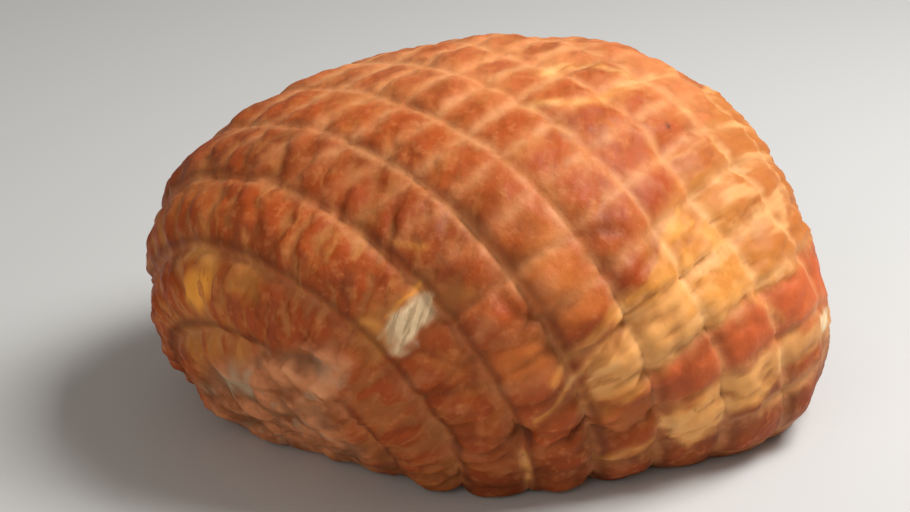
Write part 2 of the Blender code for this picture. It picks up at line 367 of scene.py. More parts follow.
# Colours as everyday 0 to 255 values
COLOURS = {
    "lean": (190, 92, 38),
    # Darker lean laid as painted shade, low down and facing down; also a tint on some cells
    "browned lean": (168, 72, 24),
    # Paler lean towards the upper right: partly its own tone, partly painted light
    "pale lean": (226, 139, 84),
    "dark blotch": (150, 56, 18),
    "dark stroke": (118, 46, 10),
    "tan stroke": (206, 134, 70),
    "fleck": (218, 132, 76),
    "cell middle": (174, 74, 26),
    "red": (214, 100, 54),
    "dark red": (168, 62, 24),
    "brown stain": (140, 74, 28),
    "tan stain": (202, 126, 62),
    "tan front": (218, 122, 54),
    "peach": (238, 160, 98),
    "ochre": (200, 132, 58),
    "gathered dark": (146, 84, 46),
    "gathered pink": (224, 146, 98),
    "gathered grey": (190, 166, 134),
    "gathered shade": (112, 80, 54),
    "knob": (244, 168, 116),
    "fat": (240, 161, 78),
    "deep fat": (210, 128, 48),
    "far fat": (186, 104, 44),
    # Painted shade in the fat's hollows and creases, and along its dark streaks like shaded folds
    "fat fold": (160, 88, 34),
    # Painted highlight along pale streaks of fat; also the colour of its real pale patches
    "fat crest": (244, 184, 118),
    # Painted shade underneath, where the surface faces down to the right
    "low brown": (104, 44, 10),
    "line on lean": (222, 152, 98),
    "line on fat": (244, 190, 128),
    # Painted shade on the groove wall past each ring
    "flank": (100, 46, 18),
    "gold": (252, 168, 66),
    "grey": (248, 216, 170),
    "grey streak": (168, 134, 98),
    # Painted shade in the relief's hollows
    "hollow": (108, 48, 16),
    # Painted highlight on the relief's crests
    "crest": (222, 148, 98),
    "rope top": (160, 62, 28),
    "rope valley": (190, 124, 68),
    # Painted shade in the creases
    "crease": (84, 36, 14),
    "speck": (60, 34, 26),
}

# Coats of colour, each laid over those before it: its colour, the mask that it follows, its
# strength, and a mask that limits it where one does
LEAN_COATS = (
    # Painted shade where the lean faces down, towards the low front, and on the near half
    ("browned lean", "browned", 1.0),
    # Painted shade on the underside
    ("low brown", "underneath", 0.8),
    # Paler towards the upper right: partly the lean's own tone, partly painted light
    ("pale lean", "pale", 0.85),
    ("cell middle", "cell middles", 0.55, "clear"),
    ("tan stain", "tan stains", 0.40),
    ("brown stain", "brown stains", 0.50),
    ("dark blotch", "dark blotches", 0.35),
    # A darker tint on some cells, in the colour that the painted shade uses
    ("browned lean", "high cells", 0.30),
    ("tan stroke", "tan strokes", 0.60, "stroked"),
    ("dark stroke", "dark strokes", 0.65, "stroked"),
    ("fleck", "flecks", 0.35),
    # Painted light: lighter patches on the front
    ("tan front", "tan", 0.6),
    ("peach", "peach", 0.35),
    ("red", "red", 0.6),
    ("dark red", "dark_red", 0.7),
    ("ochre", "ochre", 0.6),
    # Painted shade in the relief's hollows and painted highlight on its crests, off the ropes
    ("hollow", "hollow", 0.40, "off ropes"),
    ("crest", "crest", 0.30, "off ropes"),
    ("rope top", "crest", 0.45, "roped"),
    ("rope valley", "valley", 0.60, "roped"),
    # Painted shade over the dusky zones, in the dark strokes' colour
    ("dark stroke", "dusky", 0.30),
)
GATHERED_COATS = (
    ("gathered pink", "pink blotches", 1.0),
    ("gathered grey", "grey streams", 0.40),
    # Painted shade in the hollows, painted highlight on the crests, and painted shade in the dips
    ("gathered shade", "hollow", 0.60),
    ("gathered pink", "crest", 0.55),
    ("gathered shade", "shade", 0.55),
    ("gathered grey", "wisp", 0.85),
    ("knob", "knob", 0.80),
)
FAT_COATS = (
    ("deep fat", "golden", 0.8),
    ("far fat", "far bands", 0.85),
    # Dark streaks as painted shade of folds, pale streaks as painted highlight
    ("fat fold", "dark fat streaks", 0.38),
    ("fat crest", "pale fat streaks", 0.60, "before the end"),
    ("fat crest", "pale_fat", 0.40),
    # Painted shade in the fat's hollows
    ("fat fold", "hollow", 0.45),
)
LAST_COATS = (
    # Painted shade on the flanks past the rings
    ("flank", "flanks", 0.75, "not gathered"),
    ("line on lean", "net lines", 0.85, "lean"),
    ("line on fat", "net lines", 0.65, "fat"),
    ("gold", "gold strokes", 0.95, "gold"),
    ("grey", "grey", 0.95),
    ("grey streak", "grey strokes", 0.665, "grey"),
    # Painted shade in the creases of the fat, and in deeper creases anywhere
    ("fat fold", "creases", 0.55, "fat"),
    ("crease", "deep creases", 0.5, "creased"),
    ("speck", "speck", 0.85),
)
GATHERED_COVER = 0.9

# Patterns in the colours: what they follow, length and width in metres, detail and roughness
PATTERNS = {
    "stains": ("net", 0.026, 0.019, 3.0, 0.6),
    "streams": ("net", 0.012, 0.030, 3.0, 0.6),
    "fat streaks": ("net", 0.030, 0.0085, 2.5, 0.55),
    "long strokes": ("slanted net", 0.017, 0.0080, 3.0, 0.6),
    "short strokes": ("slanted net", 0.013, 0.0075, 3.0, 0.6),
    "fine strokes": ("slanted net", 0.011, 0.0050, 3.0, 0.6),
    "thin strokes": ("slanted net", 0.012, 0.0020, 3.0, 0.6),
    "wide blotches": ("body", 0.014, 0.014, 3.0, 0.55),
    "fat blotches": ("body", 0.013, 0.013, 3.0, 0.55),
    "end blotches": ("body", 0.011, 0.011, 3.0, 0.55),
    "spots": ("body", 0.010, 0.010, 3.0, 0.55),
    "coarse grain": ("body", 0.005, 0.005, 3.0, 0.55),
    "grain": ("body", 0.0045, 0.0045, 3.0, 0.55),
    "fine grain": ("body", 0.0042, 0.0042, 3.0, 0.55),
    "shine": ("body", 0.004, 0.004, 3.0, 0.55),
}
# Masks that fade in over a span of a pattern or of another mask
SPANS = {
    # Where the relief sinks and rises: coats lay painted shade in hollows and painted highlight on
    # crests
    "hollow": ("relief", -0.0002, -0.0016),
    "crest": ("relief", 0.0003, 0.0013),
    "valley": ("relief", 0.0, -0.0011),
    "cell middles": ("pillow", 0.55, 0.95),
    "high cells": ("cell", 0.2, 1.0),
    "tan stains": ("stains", 0.52, 0.64),
    "brown stains": ("stains", 0.47, 0.36),
    "dark blotches": ("wide blotches", 0.50, 0.66),
    "tan strokes": ("short strokes", 0.50, 0.66),
    "dark strokes": ("long strokes", 0.48, 0.33),
    "gold strokes": ("fine strokes", 0.30, 0.46),
    "grey strokes": ("thin strokes", 0.54, 0.36),
    "flecks": ("fine grain", 0.54, 0.68),
    "pink blotches": ("end blotches", 0.32, 0.66),
    "grey streams": ("streams", 0.56, 0.66),
    "golden blotches": ("fat blotches", 0.42, 0.64),
    "golden bands": ("band", 7.4, 9.4),
    "far bands": ("band", 7.4, 8.8),
    "before the end": ("band", 11.5, 9.8),
    # Streaks for the fat's painted fold shade and painted highlight
    "dark fat streaks": ("fat streaks", 0.42, 0.30),
    "pale fat streaks": ("fat streaks", 0.52, 0.66),
    "whole lines": ("spots", 0.36, 0.60),
    # How deep the creases are, for the painted shade in them
    "creases": ("crease", 0.0002, 0.0010),
    "deep creases": ("crease", 0.0010, 0.0026),
}
# Values that follow a mask: where it is 0 and where it is 1
SHARES = {
    "lean": ("fat", 1.0, 0.0),
    "not gathered": ("gathered", 1.0, 0.0),
    "stroked": ("roped", 0.25, 1.0),
    "off ropes": ("roped", 1.0, 0.15),
    "line strength": ("whole lines", 0.45, 1.0),
    "clear rings": ("clear", 0.50, 0.90),
    "rings on top": ("deep", 1.0, 0.55),
    "strings on top": ("deep", 0.90, 0.15),
    "deep flanks": ("deep", 0.15, 0.85),
    "flanks on lean": ("fat", 1.0, 0.5),
    "creased": ("fat", 1.0, 0.4),
    "grained": ("fat", 1.0, 0.5),
    "ragged": ("coarse grain", -0.0010, 0.0010),
    "roughness": ("shine", 0.42, 0.67),
}

# The meat's surface
SURFACE = {
    "Specular IOR Level": 0.18,
    "Subsurface Weight": 0.1,
    "Subsurface Radius": (1.0, 0.35, 0.15),
    "Subsurface Scale": 0.002,
}
GRAIN_STRENGTH = 0.6
GRAIN_HEIGHT = 0.0008

# The studio: a floor, lamps by place, size in metres, power in watts and colour, and surroundings
FLOOR_HALF = 3.0
FLOOR_DROP = 0.0002
FLOOR_COLOUR = (0.60, 0.60, 0.585, 1)
FLOOR_ROUGHNESS = 0.8
LAMPS = {
    "key": ((0.50, 0.06, 0.80), 0.42, 10.2, (1, 1, 1)),
    "fill": ((-0.5, -0.9, 0.5), 0.9, 2.8, (1.0, 0.95, 0.90)),
}
SURROUNDINGS = (1.0, 0.95, 0.885, 1)
SURROUNDINGS_STRENGTH = 0.22

# The camera, and where the photograph has the middle of the body
CAMERA_DISTANCE = 0.76
CAMERA_ELEVATION = 25
CAMERA_LENS = 85
PHOTO_WIDTH = 910
PHOTO_HEIGHT = 512
MIDDLE_IN_PHOTO = (510.7, 278.6)


def unit_directions(azimuth, elevation):
    """Unit vectors for angles in radians."""
    azimuth, elevation = np.broadcast_arrays(azimuth, elevation)
    flat = np.cos(elevation)
    return np.stack([flat * np.cos(azimuth), flat * np.sin(azimuth), np.sin(elevation)], axis=-1)


def net_directions(band, string):
    """Directions from the body's middle to places on the net."""
    angle = band * math.pi / BANDS
    along = math.cos(MIDDLE_BAND * math.pi / BANDS) - np.cos(angle)
    swing, bow, twist = (np.radians(pair) for pair in (AXIS_SWING, AXIS_BOW, STRING_TWIST))
    azimuth = math.radians(AXIS_AZIMUTH) + swing[0] * along + bow[0] * along ** 2
    elevation = math.radians(AXIS_ELEVATION) + swing[1] * along + bow[1] * along ** 2
    axis = unit_directions(azimuth, elevation)
    upward = np.array([0.0, 0.0, 1.0]) - axis * axis[..., 2:]
    upward /= np.linalg.norm(upward, axis=-1, keepdims=True)
    sideways = np.cross(axis, upward)
    around = math.radians(FIRST_STRING) + string * 2 * math.pi / STRINGS
    around = around + twist[0] * along + twist[1] * along ** 2
    spoke = np.cos(around)[..., None] * upward + np.sin(around)[..., None] * sideways
    return np.cos(angle)[..., None] * axis + np.sin(angle)[..., None] * spoke


def body_radius(direction):
    """Distance from the middle to the smooth body, before the net's marks."""
    turn = math.radians(BODY_TURN)
    along = direction[..., 0] * math.cos(turn) + direction[..., 1] * math.sin(turn)
    across = direction[..., 1] * math.cos(turn) - direction[..., 0] * math.sin(turn)
    total = np.abs(along / HALF_LENGTH) ** SQUARENESS
    total = total + np.abs(across / HALF_DEPTH) ** SQUARENESS
    total = total + np.abs(direction[..., 2] / HALF_HEIGHT) ** SQUARENESS
    radius = total ** (-1 / SQUARENESS)
    for azimuth, elevation, spread, rise in SWELLS.values():
        peak = unit_directions(math.radians(azimuth), math.radians(elevation))
        radius = radius * (1 + rise * np.exp((direction @ peak - 1) / spread ** 2))
    return radius


def rest_flat(direction, radius):
    """Cut the body off flat at the level that it rests on, with a rounded rim."""
    down = np.maximum(-direction[..., 2], 1e-6)
    to_plane = (MIDDLE_ABOVE_REST + REST_SINK) / down
    nearer = np.minimum(radius, to_plane)
    gap = np.abs(radius - to_plane) / REST_ROUNDING
    rounded = nearer - REST_ROUNDING * np.log1p(np.exp(-gap))
    return np.minimum(rounded, MIDDLE_ABOVE_REST / down)


def smooth_share(value, low, high):
    """A smooth step from 0 at low to 1 at high."""
    share = np.clip((value - low) / (high - low), 0, 1)
    return share * share * (3 - 2 * share)


def noise_at(places):
    """Smooth noise between about -1 and 1 at rows of three coordinates."""
    return np.array([noise.noise(Vector(place)) for place in places])


def body_noise(direction, name):
    """Unevenness of one kind on the body."""
    start, size, strength = UNEVENNESS[name]
    return noise_at(direction * (HALF_DEPTH / size) + start * np.array([1, 2, 3])) * strength


def net_space(band, string, slant):
    """Coordinates in metres that follow the net without a seam, slanting by strings a band."""
    turn = (string - slant * band) * 2 * math.pi / STRINGS
    girth = STRINGS * STRING_WIDTH / (2 * math.pi)
    return np.stack([band * BAND_WIDTH, girth * np.cos(turn), girth * np.sin(turn)], axis=-1)


def net_noise(band, string, name):
    """Unevenness of one kind that follows the net."""
    start, along, across, slant, strength = NET_UNEVENNESS[name]
    return noise_at(net_space(band, string, slant) / (along, across, across) + start) * strength


def folded_string(string):
    """Strings counted both ways from the front, -16 to 16."""
    return (string + STRINGS / 2) % STRINGS - STRINGS / 2


def net_metres(band, string):
    """Places on the net as flat lengths in metres."""
    return np.stack([band * BAND_WIDTH, string * STRING_WIDTH], axis=-1)


def distance_to_path(places, path):
    """Shortest distance in metres from flat places to a path in (band, string)."""
    corners = net_metres(*np.array(path, float).T)
    nearest = np.full(len(places), np.inf)
    for start, end in zip(corners, corners[1:]):
        leg = end - start
        share = np.clip((places - start) @ leg / (leg @ leg), 0, 1)
        nearest = np.minimum(nearest, np.linalg.norm(places - start - share[:, None] * leg, axis=1))
    return nearest


def inside_outline(places, outline, softness, rough):
    """1 inside an outline in (band, string), 0 outside, with a soft and roughened edge."""
    closed = tuple(outline) + (outline[0],)
    distance = distance_to_path(places, closed)
    corners = net_metres(*np.array(closed, float).T)
    inside = np.zeros(len(places), bool)
    for start, end in zip(corners, corners[1:]):
        crosses = (start[1] > places[:, 1]) != (end[1] > places[:, 1])
        rise = end[1] - start[1] if end[1] != start[1] else 1.0
        reach = start[0] + (places[:, 1] - start[1]) * (end[0] - start[0]) / rise
        inside ^= crosses & (places[:, 0] < reach)
    signed = np.where(inside, distance, -distance) + rough
    return smooth_share(signed, -softness, softness)


def along_path(places, path, width):
    """1 on a path in (band, string), fading to 0 over about twice the width in metres."""
    return np.exp(-(distance_to_path(places, path) / width) ** 2)


def row_columns(band):
    """How many columns a row has: fewer near the gathered ends."""
    from_end = min(band, BANDS - band)
    full = STRINGS * COLUMNS_PER_STRING
    for limit, share in THIN_COLUMNS:
        if from_end < limit:
            return full // share
    return full


def net_grid():
    """Places of the fine mesh on the net, and the faces between them."""
    rows = [index / ROWS_PER_BAND for index in range(1, BANDS * ROWS_PER_BAND)]
    counts = [row_columns(band) for band in rows]
    starts = np.cumsum([1] + counts).tolist()
    tip = np.zeros(1)
    bands = [tip] + [np.full(count, band) for band, count in zip(rows, counts)] + [tip + BANDS]
    strings = [tip] + [np.arange(count) * STRINGS / count for count in counts] + [tip]
    faces = []
    for row, (count, following) in enumerate(zip(counts, counts[1:])):
        faces += faces_between(starts[row], count, starts[row + 1], following)
    rim, last = starts[-2:]
    faces += [(0, 1 + (i + 1) % counts[0], 1 + i) for i in range(counts[0])]
    faces += [(last, rim + i, rim + (i + 1) % counts[-1]) for i in range(counts[-1])]
    return np.concatenate(bands), np.concatenate(strings), faces


def faces_between(near, near_count, far, far_count):
    """Faces between two rows, one of which may have twice the columns of the other."""
    if far_count < near_count:
        return [(a, c, b) for a, b, c in faces_between(far, far_count, near, near_count)]
    faces = []
    for i in range(near_count):
        a, b = near + i, near + (i + 1) % near_count
        if far_count == near_count:
            faces.append((a, b, far + (i + 1) % far_count, far + i))
        else:
            c, d, e = far + 2 * i, far + 2 * i + 1, far + (2 * i + 2) % far_count
            faces += [(a, d, c), (a, b, d), (b, e, d)]
    return faces


def paint_zones(band, folded, direction):
    """Masks for how deep and clear the net's marks are, where each kind of relief lies, and where
    shade is painted.
    """
    deep_side = np.array(DEEP_SIDE) / np.linalg.norm(DEEP_SIDE)
    low_front = unit_directions(math.radians(LOW_FRONT_AZIMUTH), math.radians(LOW_FRONT_ELEVATION))
    goes_by = {
        "band": band,
        "string": folded,
        "from the ends": np.minimum(band, BANDS - band),
        "towards the deep side": direction @ deep_side,
        "towards the low front": direction @ low_front,
        "down": -direction[:, 2],
        "down to the right": -direction[:, 2] + UNDERNEATH_SLOPE * direction[:, 0],
    }
    zones = {name: smooth_share(goes_by[kind], *span) for name, (kind, *span) in ZONES.items()}
    end_strings, end_bands = np.array(ROUGH_END, float).T
    limit = np.interp(folded, end_strings, end_bands) + body_noise(direction, "rough end")
    gathered = 1 - smooth_share(band, limit + ROUGH_END_FADE[0], limit + ROUGH_END_FADE[1])
    gathered = np.maximum(gathered, zones["far gathered"])
    upper = zones["above the front"] * zones["before the back"]
    roped = (ROPES_ON_FAR_HALF + (1 - ROPES_ON_FAR_HALF) * zones["near half"]) * upper
    roped = np.maximum(roped, ROPES_AT_NEAR_END * zones["near end"])
    folds = FOLDS_ON_FAR_HALF + (1 - FOLDS_ON_FAR_HALF) * zones["folded bands"]
    folds = folds * zones["low strings"]
    # Painted shade on the lean: the low front, the near half above the front, and facing down
    browned = np.maximum(zones["low front"], SHADE_ON_NEAR_HALF * zones["near half"] * upper)
    # Painted shade, called dusky: bands 4 to 5 above the front, and the low strings before band 4
    dusky = zones["dusky until"] * zones["dusky from"] * upper
    dusky = np.maximum(dusky, zones["dusky low strings"] * zones["dusky low bands"])
    return {
        "deep": zones["deep"],
        "dusky": dusky * (1 - gathered),
        "clear": FAINT_STRINGS + (1 - FAINT_STRINGS) * zones["clear bands"],
        "gathered": gathered,
        "roped": roped * (1 - gathered),
        "folds": folds * (1 - gathered),
        "browned": np.maximum(browned, zones["facing down"]),
        "underneath": zones["underneath"],
    }


def paint_net(band, string, direction):
    """Where each place lies between the net's rings and strings, which wander a little."""
    wander = body_noise(direction, "net") + body_noise(direction, "net, finer")
    ring_mark = MIDDLE_BAND + (band - MIDDLE_BAND) * RINGS_PER_BAND + RING_WANDER * wander
    string_mark = string + body_noise(direction, "strings")
    spacing = STRING_WIDTH * np.sin(band * math.pi / BANDS)
    return {
        "band": ring_mark,
        "string": string_mark,
        "string_gap": np.sin(math.pi * string_mark) / math.pi * spacing,
        "net": net_space(band, string, 0.0),
        "slanted": net_space(band, string, RELIEF["Rope Slant"]),
    }


def paint_fat(band, string, folded, places, rough, streaky):
    """The fat's patches and streaks, with islands of it on the side that the photo doesn't show."""
    fat = inside_outline(places, SIDE_FAT, SIDE_FAT_SOFTNESS, rough + streaky)
    fat = np.maximum(fat, inside_outline(places, LOWER_FAT, LOWER_FAT_SOFTNESS, rough + streaky))
    uneven = 1 + FAT_STREAK_UNEVENNESS * rough / ROUGH_HEIGHT
    for path, width, strength in FAT_STREAKS:
        fat = np.maximum(fat, along_path(places, path, width) * strength * uneven)
    hidden = smooth_share(np.abs(folded), *HIDDEN_STRINGS) * smooth_share(band, *HIDDEN_BANDS)
    islands = net_noise(band, string, "islands") + rough / ISLAND_ROUGHNESS
    islands = smooth_share(islands, *ISLAND_SPAN)
    return np.clip(np.maximum(fat, hidden * islands), 0, 1)


def paint_creases(places, rough, direction):
    """Depth in metres of the creases, which is uneven along them."""
    depths = np.zeros(len(places))
    for path, width, depth in CREASES:
        depths += along_path(places + rough[:, None] * CREASE_ROUGHNESS, path, width) * depth
    return depths * (CREASE_LEAST + body_noise(direction, "creases"))


def paint(band, string, direction):
    """Every mask that the relief and the colours read, for every place on the ham."""
    folded = folded_string(string)
    places = net_metres(band, folded)
    rough = body_noise(direction, "rough edge") + body_noise(direction, "rough edge, finer")
    streaky = net_noise(band, string, "streaky edge")
    masks = paint_zones(band, folded, direction)
    masks.update(paint_net(band, string, direction))
    masks["fat"] = paint_fat(band, string, folded, places, rough, streaky)
    for name, (outlines, softness, rough_share, streaky_share) in PATCHES.items():
        edge = rough_share * rough + streaky_share * streaky
        patches = [inside_outline(places, outline, softness, edge) for outline in outlines]
        masks[name] = np.max(patches, axis=0)
    for name, (paths, width, rough_share) in STROKES.items():
        moved = places + rough_share * rough[:, None]
        masks[name] = np.max([along_path(moved, path, width) for path in paths], axis=0)
    gold_rim = GOLD_IN_RIM * masks.pop("rim") * (1 - masks["grey"])
    masks["gold"] = np.maximum(masks["gold"], gold_rim)
    from_speck = np.linalg.norm(places - net_metres(*np.array(SPECK)), axis=1)
    masks["speck"] = np.exp(-(from_speck / SPECK_RADIUS) ** 2)
    masks["crease"] = paint_creases(places, rough, direction)
    return masks


def cell_heights(band, string):
    """The height between -1 and 1 of the cell that each place lies in."""
    draw = random.Random(SEED)
    cells = np.array([[draw.uniform(-1, 1) for _ in range(STRINGS)] for _ in range(BANDS)])
    return cells[np.floor(band).astype(int) % BANDS, np.floor(string).astype(int) % STRINGS]


def smooth_ham():
    """The body's fine mesh without the net's marks, with everything painted as attributes."""
    band, string, faces = net_grid()
    direction = net_directions(band, string)
    points = direction * body_radius(direction)[:, None]
    mesh = bpy.data.meshes.new("ham_body")
    mesh.from_pydata(points.tolist(), [], faces)
    layers = paint(band, string, direction)
    layers["cell"] = cell_heights(layers["band"], layers["string"])
    for name, values in layers.items():
        kind, slot = ("FLOAT_VECTOR", "vector") if values.ndim == 2 else ("FLOAT", "value")
        layer = mesh.attributes.new(name, kind, "POINT")
        layer.data.foreach_set(slot, values.astype(np.float32).ravel())
    return mesh


class Nodes:
    """Short calls to add nodes to one tree, each returning the socket that it feeds on."""

    def __init__(self, tree):
        self.tree = tree

    def add(self, kind, **settings):
        node = self.tree.nodes.new(kind)
        for name, value in settings.items():
            setattr(node, name, value)
        return node

    def feed(self, socket, value):
        if isinstance(value, bpy.types.NodeSocket):
            self.tree.links.new(value, socket)
        elif value is not None:
            socket.default_value = value

    def math(self, operation, first, second=None, third=None):
        node = self.add("ShaderNodeMath", operation=operation)
        for socket, value in zip(node.inputs, (first, second, third)):
            self.feed(socket, value)
        return node.outputs[0]

    def vector(self, operation, first, second):
        node = self.add("ShaderNodeVectorMath", operation=operation)
        self.feed(node.inputs[0], first)
        self.feed(node.inputs["Scale"] if operation == "SCALE" else node.inputs[1], second)
        return node.outputs[0]

    def stretched(self, place, along, across):
        """Coordinates in lengths along and widths across, for noise that follows the net."""
        sizes = self.add("ShaderNodeCombineXYZ")
        for socket, value in zip(sizes.inputs, (along, across, across)):
            self.feed(socket, value)
        return self.vector("DIVIDE", place, sizes.outputs[0])

    def noise(self, place, detail=2.0, roughness=0.5):
        """Noise from 0 to 1 with lumps about one unit of the place's coordinates across."""
        node = self.add("ShaderNodeTexNoise")
        self.feed(node.inputs["Vector"], place)
        node.inputs["Scale"].default_value = 1.0
        node.inputs["Detail"].default_value = detail
        node.inputs["Roughness"].default_value = roughness
        return node.outputs["Fac"]

    def lumps(self, place, feature="F1"):
        """Distance from the nearest of scattered points, or from the edge between two."""
        node = self.add("ShaderNodeTexVoronoi", feature=feature)
        self.feed(node.inputs["Vector"], place)
        node.inputs["Scale"].default_value = 1.0
        return node.outputs["Distance"]

    def step(self, value, low, high):
        node = self.add("ShaderNodeMapRange", interpolation_type="SMOOTHSTEP")
        self.feed(node.inputs["Value"], value)
        node.inputs["From Min"].default_value = low
        node.inputs["From Max"].default_value = high
        return node.outputs["Result"]

    def bell(self, distance, width):
        """1 where the distance is 0, fading to 0 over about twice the width."""
        square = self.math("POWER", self.math("DIVIDE", self.math("ABSOLUTE", distance), width), 2.0)
        return self.math("EXPONENT", self.math("MULTIPLY", square, -1.0))

    def joined(self, operation, values):
        first, *others = values
        for value in others:
            first = self.math(operation, first, value)
        return first

    def total(self, values):
        return self.joined("ADD", values)

    def product(self, values):
        return self.joined("MULTIPLY", values)


class ReliefNodes(Nodes):
    """The nodes that press relief into the body, which read the tree's inputs."""

    def __init__(self, tree):
        super().__init__(tree)
        self.given = self.add("NodeGroupInput").outputs
        self.position = self.add("GeometryNodeInputPosition").outputs[0]
        self.net = self.layer("net", "FLOAT_VECTOR")
        self.across_band = self.ridge(self.layer("band"), self.given["Ring Sharpness"])
        self.across_string = self.ridge(self.layer("string"), self.given["String Sharpness"])

    def layer(self, name, kind="FLOAT"):
        node = self.add("GeometryNodeInputNamedAttribute", data_type=kind)
        node.inputs["Name"].default_value = name
        return node.outputs["Attribute"]

    def ridge(self, turns, sharpness):
        """Height across one cell, 0 in the grooves at whole numbers and 1 halfway between."""
        wave = self.math("SINE", self.math("MULTIPLY", turns, math.pi))
        return self.math("POWER", self.math("ABSOLUTE", wave), sharpness)

    def depth(self, mark):
        """How deep a mark is: shallow on top, and deep on the tightly tied side."""
        top = self.given[mark + " Depth Top"]
        more = self.math("SUBTRACT", self.given[mark + " Depth Front"], top)
        return self.math("MULTIPLY_ADD", more, self.layer("deep"), top)

    def swing(self, value):
        """The range from 0 to 1 as one from -1 to 1."""
        return self.math("MULTIPLY_ADD", value, 2.0, -1.0)

    def passed_on(self, kind, geometry, inputs, **settings):
        """The geometry after one more node, with that node's other inputs fed by name."""
        node = self.add(kind, **settings)
        self.feed(node.inputs[0], geometry)
        for name, value in inputs.items():
            self.feed(node.inputs[name], value)
        return node.outputs[0]

    def stored(self, geometry, name, value):
        """The geometry with a value kept on its points."""
        settings = {"data_type": "FLOAT", "domain": "POINT"}
        inputs = {"Name": name, "Value": value}
        return self.passed_on("GeometryNodeStoreNamedAttribute", geometry, inputs, **settings)


def net_marks(nodes):
    """Grooves of the rings and strings, the strings' deeper in fat, with none at the rough ends."""
    rings = nodes.product([nodes.math("SUBTRACT", nodes.across_band, 1.0), nodes.depth("Ring")])
    strings = nodes.product([
        nodes.math("SUBTRACT", nodes.across_string, 1.0), nodes.depth("String"),
        nodes.layer("clear"), nodes.math("ADD", nodes.layer("fat"), 1.0),
    ])
    not_gathered = nodes.math("SUBTRACT", 1.0, nodes.layer("gathered"))
    return nodes.product([nodes.total([rings, strings]), not_gathered])


def even_lumps(nodes, kind, detail, roughness):
    """Lumps of one kind, up and down about the body."""
    size = nodes.given[kind + " Size"]
    lumps = nodes.noise(nodes.stretched(nodes.position, size, size), detail, roughness)
    return nodes.product([nodes.swing(lumps), nodes.given[kind + " Height"], LUMP_GAIN])


def rope_folds(nodes):
    """Slanting folds like ropes, which wobble and have gaps."""
    given = nodes.given
    size = given["Rope Wobble Size"]
    wobble = nodes.swing(nodes.noise(nodes.stretched(nodes.net, size, size)))
    wobble = nodes.product([wobble, given["Rope Wobble"]])
    slant = nodes.product([nodes.layer("band"), given["Rope Slant"]])
    turns = nodes.math("SUBTRACT", nodes.layer("string"), slant)
    turns = nodes.total([nodes.product([turns, given["Ropes Each String"]]), wobble])
    size = given["Rope Gap Size"]
    gaps = nodes.step(nodes.noise(nodes.stretched(nodes.net, size, size), 3.0), *ROPE_GAPS)
    height = nodes.math("SUBTRACT", nodes.ridge(turns, given["Rope Sharpness"]), ROPE_MIDDLE)
    return nodes.product([
        height, given["Rope Height"], nodes.layer("roped"), gaps, nodes.across_band,
    ])


def soft_folds(nodes):
    """Short domes of meat with clefts between them."""
    given = nodes.given
    place = nodes.stretched(nodes.net, given["Fold Length"], given["Fold Width"])
    place = nodes.vector("ADD", place, nodes.vector("SCALE", nodes.net, FOLD_CRUMPLE))
    domes = nodes.math("SUBTRACT", FOLD_MIDDLE, nodes.lumps(place))
    clefts = nodes.bell(nodes.lumps(place, "DISTANCE_TO_EDGE"), given["Cleft Width"])
    clefts = nodes.product([clefts, given["Cleft Depth"]])
    folds = nodes.math("SUBTRACT", domes, clefts)
    return nodes.product([folds, given["Fold Height"], nodes.layer("folds")])


def fat_wrinkles(nodes):
    """Fine creases along the fat."""
    given = nodes.given
    place = nodes.stretched(nodes.net, given["Wrinkle Length"], given["Wrinkle Width"])
    creases = nodes.bell(nodes.swing(nodes.noise(place, 2.0, 0.55)), given["Wrinkle Sharpness"])
    wrinkles = nodes.math("SUBTRACT", WRINKLE_MIDDLE, creases)
    return nodes.product([wrinkles, given["Wrinkle Height"], nodes.layer("fat")])


def end_puckers(nodes):
    """Ragged knots of meat where the net was gathered."""
    given = nodes.given
    place = nodes.stretched(nodes.position, given["Pucker Size"], given["Pucker Size"])
    ragged = nodes.swing(nodes.noise(nodes.vector("SCALE", place, PUCKER_RAGGED_SCALE), 3.0))
    domes = nodes.math("SUBTRACT", PUCKER_MIDDLE, nodes.lumps(place))
    puckers = nodes.math("MULTIPLY_ADD", ragged, given["Pucker Raggedness"], domes)
    return nodes.product([puckers, given["Pucker Height"], nodes.layer("gathered")])


